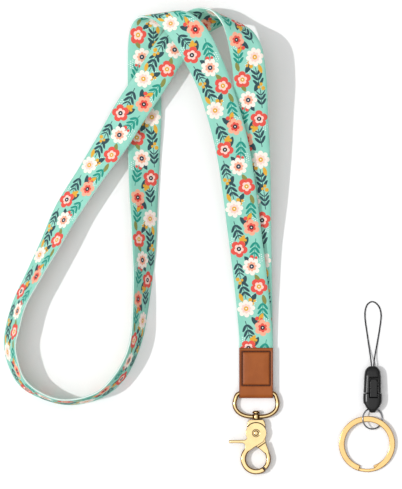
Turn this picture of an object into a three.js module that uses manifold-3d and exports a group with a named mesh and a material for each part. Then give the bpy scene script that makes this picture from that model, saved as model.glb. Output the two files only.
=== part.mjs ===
// A neck lanyard laid out on a flat surface: a printed ribbon loop, a stitched leather cuff, a
// D-ring, a swivelling trigger snap hook, and beside it a quick-release phone loop with a key ring.
// Millimetres, +Z up. The origin is the middle of the cuff's back face, which lies on the surface.

import * as THREE from 'three';
import { mergeVertices } from 'three/addons/utils/BufferGeometryUtils.js';
import Module from 'manifold-3d';

const wasm = await Module();
wasm.setup();

// ---- Driving dimensions -------------------------------------------------------------------

const GAP = 0.3;

const RIBBON_WIDTH = 20;
const RIBBON_THICK = 1.2;
const RIBBON_STEP = 6;
const TURN_STEP = 3;

const LEATHER = 1.2;
const CUFF_WIDTH = 20.2;
const CUFF_TOP = 15;
const CUFF_THICK = 2 * LEATHER + 2 * RIBBON_THICK + 3 * GAP;
const MID_Z = CUFF_THICK / 2;

const STITCH_HALF_WIDTH = 8.4;
const STITCH_LOW = -7.5;
const STITCH_HIGH = 12.8;
const GROOVE_WIDTH = 0.9;
const GROOVE_DEPTH = 0.5;
const THREAD_WIDTH = 0.6;

const BAR_Y = -12.4;
const D_WIRE = 2.6;
const D_BOTTOM_Y = -26.3;
const BOSS_RADIUS = 2.5;
const BOSS_LENGTH = 3;
const PIN_RADIUS = 1.15;
const PIN_HEAD_RADIUS = 2.2;
const PIN_HEAD_LENGTH = 1.9;
const PIN_ROOT = 1.3;

const HOOK_TOP_Y = -28;
const RIVET_Y = -36.1;
const RIVET_RADIUS = 1.1;
const RIVET_HEAD_RADIUS = 1.7;
const RIVET_PROUD = 0.35;
const SINK_RADIUS = 2.3;
const SINK_DEPTH = 0.5;
const PLATE_RADIUS = 6.2;
const HOOK_HALF_THICK = 2.4;
const PLATE_EASE = 0.25;
const ARC_EASE = 0.6;
const PLATE_SPLIT = GAP / 2;
const SPRING_RADIUS = 2.5;
const SPRING_WIRE = 0.5;
const SPRING_TURNS = 2.4;
const SPRING_POCKET_RADIUS = 3.1;
const SPRING_POCKET_HALF = 1.2;
const EYE_Y = -51.6;
const EYE_INNER = 6.1;
const EYE_OUTER = 9.3;
const EYE_OUTER_RIGHT = 8.9;
const TIP_ANGLE = THREE.MathUtils.degToRad(-51);
const ROOT_ANGLE = THREE.MathUtils.degToRad(128);
const WEDGE_ANGLE = THREE.MathUtils.degToRad(58);
const TIP_GAP_ANGLE = THREE.MathUtils.degToRad(2);
const ARC_STEP = THREE.MathUtils.degToRad(9);

const PHONE_X = 69.8;
const BUCKLE_TOP = 4;
const BUCKLE_SPLIT = -12;
const BUCKLE_END = -23.9;
const BUCKLE_THICK = 7.2;
const BUCKLE_MID_Z = BUCKLE_THICK / 2;
const CAVITY_HALF = 3.6;
const CAVITY_LOW = 1.6;
const CAVITY_HIGH = 5.6;
const CAVITY_END = 0.6;
const WINDOW_LEFT = -2;
const WINDOW_RIGHT = 3.1;
const WINDOW_TOP = -2.4;
const CORD_RADIUS = 0.4;
const KNOT_RADIUS = 1.2;
const TONGUE_END = -3;
const TONGUE_TOP = 4.2;
const LATCH_ROOT = -14.8;
const LATCH_THICK = 1.6;
const POCKET_Y = -18.6;
const POCKET_HALF = 2.6;
const POCKET_TOP = 5.6;

const LINK_RADIUS = 6.25;
const LINK_WIRE = 0.9;
const LINK_TOP_Y = -21.2;
const LINK_Z = 2.65;
const LINK_ROLL = THREE.MathUtils.degToRad(19.5);
const LINK_JOINT = 0.02;
const LINK_SLOT_HALF_Y = 1.3;
const LINK_SLOT_HALF_Z = 1.7;

const KEY_X = 66.5;
const KEY_Y = -42.7;
const KEY_OUTER = 16.8;
const KEY_WIDTH = 3.3;
const KEY_LAYER = 0.75;
const KEY_LAYER_GAP = 0.12;
const KEY_RISE = 2.25;
const KEY_BRIDGE = THREE.MathUtils.degToRad(34);
const KEY_BRIDGE_WIDTH = 1.8;
const KEY_TAPER_ANGLE = 0.3;

// ---- Solids -------------------------------------------------------------------------------

function toManifold(geometry) {
  const plain = geometry.index ? geometry.toNonIndexed() : geometry.clone();
  plain.deleteAttribute('normal');
  plain.deleteAttribute('uv');
  const merged = mergeVertices(plain, 1e-3);
  return new wasm.Manifold(new wasm.Mesh({
    numProp: 3,
    vertProperties: new Float32Array(merged.attributes.position.array),
    triVerts: new Uint32Array(merged.index.array),
  }));
}

function toGeometry(manifold) {
  const mesh = manifold.getMesh();
  const geometry = new THREE.BufferGeometry();
  geometry.setAttribute('position', new THREE.BufferAttribute(mesh.vertProperties, 3));
  geometry.setIndex(new THREE.BufferAttribute(mesh.triVerts, 1));
  return geometry;
}

function join(...geometries) {
  return toGeometry(geometries.map(toManifold).reduce((a, b) => a.add(b)));
}

function cut(geometry, ...tools) {
  return toGeometry(tools.map(toManifold).reduce((a, b) => a.subtract(b), toManifold(geometry)));
}

// A closed skin over a row of rings of points, capped at both ends or joined end to end.
function loft(rings, closed = false) {
  const count = rings[0].length;
  const points = rings.flat();
  const faces = [];
  const spans = closed ? rings.length : rings.length - 1;
  for (let i = 0; i < spans; i++) {
    const here = i * count;
    const next = ((i + 1) % rings.length) * count;
    for (let j = 0; j < count; j++) {
      const k = (j + 1) % count;
      faces.push(here + j, here + k, next + k, here + j, next + k, next + j);
    }
  }
  if (!closed) {
    const last = (rings.length - 1) * count;
    for (let j = 1; j < count - 1; j++) {
      faces.push(0, j + 1, j, last, last + j, last + j + 1);
    }
  }
  const geometry = new THREE.BufferGeometry().setFromPoints(points);
  geometry.setIndex(faces);
  return geometry;
}

function box(x0, x1, y0, y1, z0, z1) {
  const geometry = new THREE.BoxGeometry(x1 - x0, y1 - y0, z1 - z0);
  geometry.translate((x0 + x1) / 2, (y0 + y1) / 2, (z0 + z1) / 2);
  return geometry;
}

function upright(x, y, radius, z0, z1, sides = 32) {
  const geometry = new THREE.CylinderGeometry(radius, radius, z1 - z0, sides);
  geometry.rotateX(Math.PI / 2);
  geometry.translate(x, y, (z0 + z1) / 2);
  return geometry;
}

function alongY(x, z, radius, y0, y1, sides = 24) {
  const geometry = new THREE.CylinderGeometry(radius, radius, y1 - y0, sides);
  geometry.translate(x, (y0 + y1) / 2, z);
  return geometry;
}

// A flat plate: an outline in X and Y, from z0 up to z1, its edges eased by a small bevel.
function plate(shape, z0, z1, ease = 0) {
  const geometry = new THREE.ExtrudeGeometry(shape, {
    depth: z1 - z0 - 2 * ease,
    bevelEnabled: ease > 0,
    bevelSize: ease,
    bevelOffset: -ease,
    bevelThickness: ease,
    bevelSegments: 1,
    curveSegments: 16,
  });
  geometry.translate(0, 0, z0 + ease);
  return geometry;
}

// A round tube along a closed or open curve, as rings across it.
function tube(curve, radius, steps, sides, closed) {
  const frames = curve.computeFrenetFrames(steps, closed);
  const rings = [];
  const total = closed ? steps : steps + 1;
  for (let i = 0; i < total; i++) {
    const centre = curve.getPointAt(i / steps);
    const ring = [];
    for (let j = 0; j < sides; j++) {
      const angle = (2 * Math.PI * j) / sides;
      ring.push(centre.clone()
        .addScaledVector(frames.normals[i], radius * Math.cos(angle))
        .addScaledVector(frames.binormals[i], radius * Math.sin(angle)));
    }
    rings.push(ring);
  }
  return loft(rings, closed);
}

// ---- Ribbon -------------------------------------------------------------------------------

// The ribbon walked from the cuff up the back strap, round the neck loop and down the front strap.
// A stop is the ribbon's middle and its tilt, [x, y, z, tilt]: tilt in degrees raises the left edge,
// and past 90 the back face is up. Where the ribbon rolls over, a stop is instead the two ends of a
// straight line that crosses it slantwise, [left x, y, z, right x, y, z].
const ROUTE = [
  [0, -7.4, 2.1, 0], [0, 13, 2.1, 0], [0, 20, 2.35, 0], [-0.4, 43.6, 5.5, 0],
  [-0.9, 76.6, 9, 0], [-1.2, 103.6, 14, 0], [-2, 133.6, 18.5, 0], [-3, 152.2, 21, 0],
  [-13.8, 177.5, 24.6, 6, 175.6, 24], [-16.2, 193.6, 27, 3.3, 194.2, 25],
  [-18.3, 202.9, 27.5, 0.3, 200.4, 23.5], [-20.4, 208.6, 27, -2.6, 204, 20.5],
  [-23.4, 213.1, 25, -6, 206.6, 16.5], [-27, 216.4, 21.5, -9.6, 208.6, 12],
  [-31.2, 218, 17, -12.8, 209.4, 8], [-35.4, 218.3, 14, -17, 209, 5.5],
  [-40.8, 216.5, 12.5, -22.4, 207, 5.5], [-47.4, 211.6, 12, -30, 202, 7.8],
  [-53.7, 205.9, 12, -37.5, 193.4, 10.2], [-53.6, 189.6, 11, 182], [-62.4, 175.6, 10.2, 185],
  [-75, 156.7, 9.4, 186], [-85.2, 139.6, 8.5, 200], [-99.1, 118.6, 8, 216], [-113.7, 95.8, 8, 222],
  [-123.4, 76.6, 8.6, 234], [-133.1, 58.1, 9.2, 242], [-141.7, 40.9, 9.5, 246],
  [-145.9, 25.6, 9.5, 246], [-147.2, 17.3, 9.6, 249], [-145.6, 7, 9.7, 251], [-139.2, -6.2, 9.9, 256],
  [-124.2, -15.2, 10.1, 262], [-110.8, -17.3, 10.1, 261], [-93.6, -12.8, 10, 258],
  [-82.2, -2.6, 9.8, 253], [-75, 10.3, 9.8, 253], [-71.3, 22.9, 9.7, 250], [-70, 33.4, 9.5, 246],
  [-67.9, 57.4, 8.8, 236], [-67.2, 77.8, 7.7, 225], [-67.2, 92.2, 7.2, 220], [-67.4, 106.6, 6.2, 212],
  [-67.2, 130, 4.8, 200], [-66.9, 151.6, 3.2, 183], [-66.9, 175.6, 3.2, 180], [-66.8, 190, 3.6, 180],
  [-56.4, 201, 4.4, -76.4, 200, 3.4], [-55.2, 207, 6, -75.3, 206, 4.2],
  [-53.8, 211.8, 9.5, -73.4, 210.2, 6.8], [-51.4, 214.7, 15.5, -71.2, 212.3, 11],
  [-48, 215.8, 21, -68.6, 212.9, 15.6], [-43.8, 215.7, 24.6, -65.4, 212.4, 19.2],
  [-39.6, 214.6, 26.2, -61.8, 211, 21.6], [-35.5, 212, 26.8, -57.9, 208, 23],
  [-31.2, 207.7, 26.8, -52.8, 202, 24], [-26.7, 200.8, 26.6, -48, 195.2, 24.6],
  [-22.8, 192.7, 26.3, -43.2, 186.6, 24.8], [-26, 174.4, 25.6, 0],
  [-18.6, 151.8, 24.4, 0], [-13.2, 128.9, 22, 0],
  [-6, 76.6, 12.5, 0], [-3.1, 53.2, 9.3, 0], [0, 20, 4, 0], [0, 13, 3.65, 0], [0, -7.4, 3.6, 0],
];

// Where one stretch of the ribbon hands over to the next, by stop number, and its spacing of rings.
const STRETCHES = [
  ['strap_back', 0, 8, RIBBON_STEP],
  ['strap_right_turn', 8, 19, TURN_STEP],
  ['strap_left_limb', 19, 26, RIBBON_STEP],
  ['strap_neck_curve', 26, 38, RIBBON_STEP],
  ['strap_right_limb', 38, 46, RIBBON_STEP],
  ['strap_left_turn', 46, 58, TURN_STEP],
  ['strap_front', 58, 65, RIBBON_STEP],
];

function stopCentre(number) {
  const stop = ROUTE[THREE.MathUtils.clamp(number, 0, ROUTE.length - 1)];
  if (stop.length === 4) return new THREE.Vector3(...stop.slice(0, 3));
  return new THREE.Vector3(...stop.slice(0, 3)).add(new THREE.Vector3(...stop.slice(3))).divideScalar(2);
}

function stopEdges(stop, number) {
  if (stop.length === 6) {
    return [new THREE.Vector3(...stop.slice(0, 3)), new THREE.Vector3(...stop.slice(3))];
  }
  const tilt = THREE.MathUtils.degToRad(stop[3]);
  const along = stopCentre(number + 1).sub(stopCentre(number - 1)).normalize();
  const across = new THREE.Vector3(-along.y, along.x, 0).normalize().multiplyScalar(Math.cos(tilt));
  across.z = Math.sin(tilt);
  across.addScaledVector(along, -across.dot(along)).setLength(RIBBON_WIDTH / 2);
  return [stopCentre(number).add(across), stopCentre(number).sub(across)];
}

const edges = ROUTE.map(stopEdges);
const leftEdge = new THREE.CatmullRomCurve3(edges.map(([left]) => left));
const rightEdge = new THREE.CatmullRomCurve3(edges.map(([, right]) => right));

function ribbonSection(t) {
  const left = leftEdge.getPoint(t);
  const right = rightEdge.getPoint(t);
  const along = leftEdge.getTangent(t).add(rightEdge.getTangent(t));
  const face = along.cross(left.clone().sub(right)).setLength(RIBBON_THICK / 2);
  return [
    left.clone().add(face), right.clone().add(face), right.clone().sub(face), left.clone().sub(face),
  ];
}

function ribbonStretch(from, to, step) {
  const last = ROUTE.length - 1;
  const rings = [];
  for (let stop = from; stop < to; stop++) {
    const length = stopCentre(stop).distanceTo(stopCentre(stop + 1));
    const steps = Math.max(2, Math.round(length / step));
    const trim = GAP / 2 / length;
    for (let i = 0; i <= steps; i++) {
      if (i === steps && stop + 1 < to) continue;
      let part = i / steps;
      if (stop === from && i === 0 && from > 0) part = trim;
      if (stop + 1 === to && i === steps && to < last) part = 1 - trim;
      rings.push(ribbonSection((stop + part) / last));
    }
  }
  return loft(rings);
}

// ---- Leather cuff and its stitching -------------------------------------------------------

// One strip of leather folded round the D-ring's bar, both flaps reaching up over the ribbon ends.
function leatherCuff() {
  const inner = MID_Z - LEATHER;
  const side = new THREE.Shape();
  side.moveTo(CUFF_TOP, 0);
  side.lineTo(CUFF_TOP, LEATHER);
  side.lineTo(BAR_Y, LEATHER);
  side.absarc(BAR_Y, MID_Z, inner, -Math.PI / 2, Math.PI / 2, true);
  side.lineTo(CUFF_TOP, CUFF_THICK - LEATHER);
  side.lineTo(CUFF_TOP, CUFF_THICK);
  side.lineTo(BAR_Y, CUFF_THICK);
  side.absarc(BAR_Y, MID_Z, MID_Z, Math.PI / 2, -Math.PI / 2, false);
  side.closePath();
  const strip = new THREE.ExtrudeGeometry(side, {
    depth: CUFF_WIDTH, bevelEnabled: false, curveSegments: 10,
  });
  // The outline's two axes become Y and Z, and its depth runs across the cuff along X.
  strip.applyMatrix4(new THREE.Matrix4().set(
    0, 0, 1, -CUFF_WIDTH / 2,
    1, 0, 0, 0,
    0, 1, 0, 0,
    0, 0, 0, 1));
  const front = stitchLoop(GROOVE_WIDTH, CUFF_THICK - GROOVE_DEPTH, CUFF_THICK + 1);
  const back = stitchLoop(GROOVE_WIDTH, -1, GROOVE_DEPTH);
  return cut(strip, front, back);
}

function stitchLoop(width, z0, z1) {
  const half = width / 2;
  const outer = box(-STITCH_HALF_WIDTH - half, STITCH_HALF_WIDTH + half,
    STITCH_LOW - half, STITCH_HIGH + half, z0, z1);
  const inner = box(-STITCH_HALF_WIDTH + half, STITCH_HALF_WIDTH - half,
    STITCH_LOW + half, STITCH_HIGH - half, z0 - 1, z1 + 1);
  return cut(outer, inner);
}

function threadFront() {
  return stitchLoop(THREAD_WIDTH, CUFF_THICK - GROOVE_DEPTH + 0.1, CUFF_THICK - 0.05);
}

function threadBack() {
  return stitchLoop(THREAD_WIDTH, 0.05, GROOVE_DEPTH - 0.1);
}

// ---- D-ring and swivel --------------------------------------------------------------------

const D_SIDE = [
  [10.1, -12.4], [11.5, -13.4], [12.4, -15.8], [12.9, -18.7], [12.1, -21.8], [9.7, -24.4], [5.6, -26],
];

function dRing() {
  const right = D_SIDE.map(([x, y]) => new THREE.Vector3(x, y, MID_Z));
  const left = D_SIDE.map(([x, y]) => new THREE.Vector3(-x, y, MID_Z)).reverse();
  const points = [
    new THREE.Vector3(-5, BAR_Y, MID_Z),
    new THREE.Vector3(0, BAR_Y, MID_Z),
    new THREE.Vector3(5, BAR_Y, MID_Z),
    ...right,
    new THREE.Vector3(0, D_BOTTOM_Y, MID_Z),
    ...left,
  ];
  const curve = new THREE.CatmullRomCurve3(points, true, 'centripetal');
  const wire = tube(curve, D_WIRE / 2, 52, 10, true);
  const high = D_BOTTOM_Y + BOSS_LENGTH / 2;
  const low = D_BOTTOM_Y - BOSS_LENGTH / 2;
  const boss = alongY(0, MID_Z, BOSS_RADIUS, low, high);
  const bore = alongY(0, MID_Z, PIN_RADIUS + GAP, low - 2, high + 2, 16);
  return cut(join(wire, boss), bore);
}

function swivelPin() {
  const headFoot = D_BOTTOM_Y + BOSS_LENGTH / 2 + GAP;
  const profile = [
    [0, HOOK_TOP_Y - PIN_ROOT], [PIN_RADIUS, HOOK_TOP_Y - PIN_ROOT], [PIN_RADIUS, headFoot],
    [PIN_HEAD_RADIUS, headFoot], [PIN_HEAD_RADIUS, headFoot + PIN_HEAD_LENGTH * 0.55],
    [PIN_HEAD_RADIUS * 0.75, headFoot + PIN_HEAD_LENGTH * 0.9], [0, headFoot + PIN_HEAD_LENGTH],
  ];
  const geometry = new THREE.LatheGeometry(profile.map(([r, y]) => new THREE.Vector2(r, y)), 16);
  geometry.translate(0, 0, MID_Z);
  return geometry;
}

// ---- Trigger snap hook --------------------------------------------------------------------

const FRONT_Z = MID_Z + HOOK_HALF_THICK;
const BACK_Z = MID_Z - HOOK_HALF_THICK;

function eyeSector(outer, from, to) {
  const steps = Math.round((to - from) / ARC_STEP);
  const arc = (radius) => Array.from({ length: steps + 1 }, (_, i) => {
    const angle = from + ((to - from) * i) / steps;
    return [radius * Math.cos(angle), EYE_Y + radius * Math.sin(angle)];
  });
  return outline([...arc(outer), ...arc(EYE_INNER).reverse()]);
}

function outline(points) {
  return new THREE.Shape(points.map(([x, y]) => new THREE.Vector2(x, y)));
}

function springPocket() {
  return upright(0, RIVET_Y, SPRING_POCKET_RADIUS,
    MID_Z - SPRING_POCKET_HALF, MID_Z + SPRING_POCKET_HALF, 20);
}

// The moving jaw: front plate, thumb lever and the left and lower arc of the eye.
function hookJaw() {
  const disc = upright(0, RIVET_Y, PLATE_RADIUS, MID_Z + PLATE_SPLIT, FRONT_Z);
  const body = plate(outline([
    [-5.3, -35], [-5.5, -39.2], [-6.6, -40.2], [-16.2, -40.3], [-16.2, -42.1], [-8, -42.1],
    [-6.7, -43], [-6.6, -44.6], [-7.2, -46.3], [-4.4, -47.2], [-2.5, -45.9], [-0.5, -44.3],
    [0.4, -43.9], [4.6, -41.2], [5.6, -38.5], [5.8, -35],
  ]), MID_Z + PLATE_SPLIT, FRONT_Z, PLATE_EASE);
  const arc = plate(eyeSector(EYE_OUTER, ROOT_ANGLE, 2 * Math.PI + TIP_ANGLE), BACK_Z, FRONT_Z, ARC_EASE);
  const bore = upright(0, RIVET_Y, RIVET_RADIUS + GAP, BACK_Z - 1, FRONT_Z + 1, 16);
  const sink = upright(0, RIVET_Y, SINK_RADIUS, FRONT_Z - SINK_DEPTH, FRONT_Z + 1);
  return cut(join(disc, body, arc), bore, sink, springPocket());
}

// The fixed half: neck block, back plate and the right-hand arc with its wedge-shaped root.
function hookFrame() {
  const head = outline([
    [-4.2, HOOK_TOP_Y], [-5.1, -29.6], [-5.4, -33], [-5.3, -36], [5.7, -36], [5.7, -31.5],
    [5.3, -29.8], [4.3, HOOK_TOP_Y],
  ]);
  const cove = upright(0, RIVET_Y, PLATE_RADIUS + GAP, MID_Z - PLATE_SPLIT, FRONT_Z + 1, 40);
  const neck = cut(plate(head, BACK_Z, FRONT_Z, PLATE_EASE), cove);
  const disc = upright(0, RIVET_Y, PLATE_RADIUS - 0.3, BACK_Z, MID_Z - PLATE_SPLIT);
  const leg = plate(outline([
    [-3, -36], [-1.5, -42], [0.9, -44.9], [3.4, -45], [6.8, -44.2], [5.7, -41.3], [5.7, -36],
  ]), BACK_Z, MID_Z - PLATE_SPLIT);
  const wedge = plate(outline([
    [1, -44.9], [5.7, -41.6], [6.9, -44.6], [8, -47.6], [5, -48.2], [2.8, -46.2],
  ]), BACK_Z, FRONT_Z, PLATE_EASE);
  const arc = plate(eyeSector(EYE_OUTER_RIGHT, TIP_ANGLE + TIP_GAP_ANGLE, WEDGE_ANGLE), BACK_Z, FRONT_Z, ARC_EASE);
  const bore = upright(0, RIVET_Y, RIVET_RADIUS + GAP, BACK_Z - 1, FRONT_Z + 1, 16);
  const sink = upright(0, RIVET_Y, SINK_RADIUS, BACK_Z - 1, BACK_Z + SINK_DEPTH);
  const socket = alongY(0, MID_Z, PIN_RADIUS + 0.15, HOOK_TOP_Y - PIN_ROOT - 0.15, HOOK_TOP_Y + 1, 16);
  return cut(join(neck, disc, leg, wedge, arc), bore, sink, springPocket(), socket);
}

function pivotRivet() {
  const headFoot = HOOK_HALF_THICK - RIVET_PROUD;
  const headTop = HOOK_HALF_THICK + RIVET_PROUD;
  const half = [
    [RIVET_RADIUS, headFoot], [RIVET_HEAD_RADIUS, headFoot],
    [RIVET_HEAD_RADIUS * 0.9, headFoot + 0.4], [RIVET_HEAD_RADIUS * 0.5, headTop - 0.08],
  ];
  const profile = [
    [0, -headTop], ...half.map(([r, z]) => [r, -z]).reverse(), ...half, [0, headTop],
  ];
  const geometry = new THREE.LatheGeometry(profile.map(([r, y]) => new THREE.Vector2(r, y)), 20);
  geometry.rotateX(Math.PI / 2);
  geometry.translate(0, RIVET_Y, MID_Z);
  return geometry;
}

class Helix extends THREE.Curve {
  constructor(radius, rise, turns) {
    super();
    this.radius = radius;
    this.rise = rise;
    this.turns = turns;
  }

  getPoint(t, target = new THREE.Vector3()) {
    const angle = 2 * Math.PI * this.turns * t;
    return target.set(this.radius * Math.cos(angle), this.radius * Math.sin(angle), this.rise * (t - 0.5));
  }
}

function jawSpring() {
  const rise = 2 * SPRING_POCKET_HALF - 2 * GAP - SPRING_WIRE;
  const coil = new Helix(SPRING_RADIUS, rise, SPRING_TURNS);
  const geometry = tube(coil, SPRING_WIRE / 2, 48, 6, false);
  geometry.translate(0, RIVET_Y, MID_Z);
  return geometry;
}

// ---- Phone loop ---------------------------------------------------------------------------

// Half widths of the buckle along its length: [y, half width, half thickness].
const SOCKET_BODY = [
  [BUCKLE_TOP, 1.7, 1.6], [3.4, 2.9, 2.3], [2.4, 3.9, 2.8], [1, 4.6, 3.2], [-1.5, 5, BUCKLE_MID_Z],
  [-6, 5.2, BUCKLE_MID_Z], [BUCKLE_SPLIT, 5.45, BUCKLE_MID_Z],
];
const PLUG_BODY = [
  [BUCKLE_SPLIT - GAP, 5.55, BUCKLE_MID_Z], [-15, 5.7, BUCKLE_MID_Z], [-17.2, 5.65, BUCKLE_MID_Z],
  [-19, 5.2, 3.5], [-20.5, 4.4, 3.4], [-21.7, 3.3, 3.2], [-22.6, 2.3, 2.8], [-23.4, 1.8, 2.4],
  [BUCKLE_END, 1.1, 1.8],
];

// Rounded box sections swept along Y.
function capsule(stops) {
  const sides = 24;
  const squareness = 0.62;
  const rings = stops.map(([y, halfWidth, halfThick]) => {
    const ring = [];
    for (let j = 0; j < sides; j++) {
      const angle = (2 * Math.PI * j) / sides;
      const c = Math.cos(angle);
      const s = Math.sin(angle);
      ring.push(new THREE.Vector3(
        PHONE_X + halfWidth * Math.sign(c) * Math.abs(c) ** squareness,
        y,
        BUCKLE_MID_Z + halfThick * Math.sign(s) * Math.abs(s) ** squareness));
    }
    return ring;
  });
  return loft(rings);
}

function buckleSocket() {
  const cavity = box(PHONE_X - CAVITY_HALF, PHONE_X + CAVITY_HALF,
    BUCKLE_SPLIT - 1, CAVITY_END, CAVITY_LOW, CAVITY_HIGH);
  const window = box(PHONE_X + WINDOW_LEFT, PHONE_X + WINDOW_RIGHT,
    BUCKLE_SPLIT - 1, WINDOW_TOP, CAVITY_HIGH - 1, BUCKLE_THICK + 1);
  const sideNotch = box(PHONE_X + CAVITY_HALF - 1, PHONE_X + 7, BUCKLE_SPLIT - 1, -7, CAVITY_LOW, CAVITY_HIGH);
  const cordHole = box(PHONE_X - 1.5, PHONE_X + 1.5, CAVITY_END - 1, BUCKLE_TOP + 1,
    BUCKLE_MID_Z - 0.8, BUCKLE_MID_Z + 0.8);
  return cut(capsule(SOCKET_BODY), cavity, window, sideNotch, cordHole);
}

function bucklePlug() {
  const tongueHalf = CAVITY_HALF - GAP;
  const tongue = box(PHONE_X - tongueHalf, PHONE_X + tongueHalf,
    BUCKLE_SPLIT - 2, TONGUE_END, CAVITY_LOW + GAP, TONGUE_TOP);
  const latchSeat = box(PHONE_X + WINDOW_LEFT, PHONE_X + WINDOW_RIGHT,
    LATCH_ROOT - 0.15, BUCKLE_SPLIT + 1, TONGUE_TOP, BUCKLE_THICK + 1);
  const linkSlot = box(PHONE_X - 8, PHONE_X + 8, LINK_TOP_Y - LINK_SLOT_HALF_Y,
    LINK_TOP_Y + LINK_SLOT_HALF_Y, LINK_Z - LINK_SLOT_HALF_Z, LINK_Z + LINK_SLOT_HALF_Z);
  const pocketLeft = box(PHONE_X - 8, PHONE_X - POCKET_HALF, BUCKLE_END - 1, POCKET_Y, -1, POCKET_TOP);
  const pocketRight = box(PHONE_X + POCKET_HALF, PHONE_X + 8, BUCKLE_END - 1, POCKET_Y, -1, POCKET_TOP);
  return join(cut(capsule(PLUG_BODY), latchSeat, linkSlot, pocketLeft, pocketRight), tongue);
}

function buckleLatch() {
  const top = BUCKLE_THICK - 0.2;
  return plate(outline([
    [PHONE_X + WINDOW_LEFT + GAP, LATCH_ROOT + 0.15], [PHONE_X + WINDOW_RIGHT - GAP, LATCH_ROOT + 0.15],
    [PHONE_X + WINDOW_RIGHT - GAP, -5], [PHONE_X + 2, -3.6], [PHONE_X - 0.9, -3.6],
    [PHONE_X + WINDOW_LEFT + GAP, -5],
  ]), top - LATCH_THICK, top, 0.3);
}

// The thin cord's two legs leave the socket side by side and open into a long drop.
const CORD_ROUTE = [
  [-0.65, 0.6, 3.6], [-0.65, 3.2, 3.6], [-0.75, 5.5, 3.2], [-1.1, 9, 2], [-1.8, 14, 0.9], [-2.6, 19.5, 0.5],
  [-3.4, 25, 0.42], [-4.2, 30.5, 0.42], [-4.5, 34.5, 0.42], [-4.1, 38.3, 0.42], [-2.7, 41.3, 0.42],
  [-0.2, 42.6, 0.42], [2.4, 41.5, 0.42], [4.4, 38.6, 0.42], [5.2, 34.8, 0.42], [5, 31, 0.42],
  [4.2, 25.5, 0.42], [3.2, 19.5, 0.5], [2.2, 14, 0.9], [1.3, 9, 2], [0.85, 5.5, 3.2], [0.65, 3.2, 3.6],
  [0.65, 0.6, 3.6],
];

function phoneCord() {
  const curve = new THREE.CatmullRomCurve3(
    CORD_ROUTE.map(([x, y, z]) => new THREE.Vector3(PHONE_X + x, y, z)), false, 'centripetal');
  return tube(curve, CORD_RADIUS, 60, 8, false);
}

function cordKnot() {
  const geometry = new THREE.SphereGeometry(KNOT_RADIUS, 12, 8);
  geometry.scale(1.3, 1, 1);
  geometry.translate(PHONE_X, CAVITY_END - GAP - KNOT_RADIUS, BUCKLE_MID_Z);
  return geometry;
}

// The steel link ring: one turn of wire, its butt joint inside the plug's slot.
function linkRing() {
  const curve = new Helix(LINK_RADIUS, 0, 1 - LINK_JOINT);
  const geometry = tube(curve, LINK_WIRE / 2, 44, 8, false);
  geometry.rotateZ(Math.PI / 2 + Math.PI * LINK_JOINT);
  geometry.rotateY(LINK_ROLL);
  geometry.translate(PHONE_X, LINK_TOP_Y - LINK_RADIUS, LINK_Z);
  return geometry;
}

// The flat split ring: a strip wound twice, stepping from the upper layer to the lower one across
// a narrowed bridge at the bottom of the ring.
function keyRing() {
  const start = -Math.PI / 2 - KEY_BRIDGE / 2;
  const turn = 2 * Math.PI - KEY_BRIDGE;
  const pitch = KEY_LAYER + KEY_LAYER_GAP;
  const rings = [];
  const section = (angle, level, width) => {
    const outer = KEY_OUTER;
    const inner = KEY_OUTER - width;
    const z0 = level - KEY_LAYER / 2;
    const z1 = level + KEY_LAYER / 2;
    const at = (r, z) => new THREE.Vector3(r * Math.cos(angle), r * Math.sin(angle), z);
    return [at(inner, z0), at(outer, z0), at(outer, z1), at(inner, z1)];
  };
  const notch = KEY_WIDTH - KEY_BRIDGE_WIDTH;
  const taper = (away) => KEY_WIDTH - notch * Math.max(0, 1 - away / KEY_TAPER_ANGLE);
  const steps = 40;
  for (let i = 0; i <= steps; i++) {
    const angle = start - (turn * i) / steps;
    const toBridge = turn * (1 - i / steps);
    rings.push(section(angle, pitch, i === 0 ? KEY_WIDTH : taper(toBridge)));
  }
  const end = start - turn;
  const bridgeSteps = 6;
  for (let i = 1; i < bridgeSteps; i++) {
    const part = i / bridgeSteps;
    const level = pitch * (1 - part * part * (3 - 2 * part));
    rings.push(section(end - KEY_BRIDGE * part, level, KEY_BRIDGE_WIDTH));
  }
  for (let i = 0; i <= steps; i++) {
    const angle = start - 2 * Math.PI - (turn * i) / steps;
    rings.push(section(angle, 0, taper((turn * i) / steps)));
  }
  const geometry = loft(rings);
  const lean = Math.atan2(KEY_RISE, 2 * KEY_OUTER);
  geometry.translate(0, KEY_OUTER, KEY_LAYER / 2);
  geometry.rotateX(lean);
  geometry.translate(KEY_X, KEY_Y - KEY_OUTER, 0);
  return geometry;
}

// ---- Assembly -----------------------------------------------------------------------------

function part(name, geometry, colour, roughness, metalness) {
  const material = new THREE.MeshStandardMaterial({ color: colour, roughness, metalness });
  geometry.computeVertexNormals();
  const mesh = new THREE.Mesh(geometry, material);
  mesh.name = name;
  return mesh;
}

const MINT = '#8fd8c0';
const TAN = '#a9602f';
const DARK_THREAD = '#5e2a0c';
const GOLD = '#e3bd6a';
const STEEL = '#a8acb0';
const BLACK = '#1b1b1d';

const lanyard = new THREE.Group();

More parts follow.
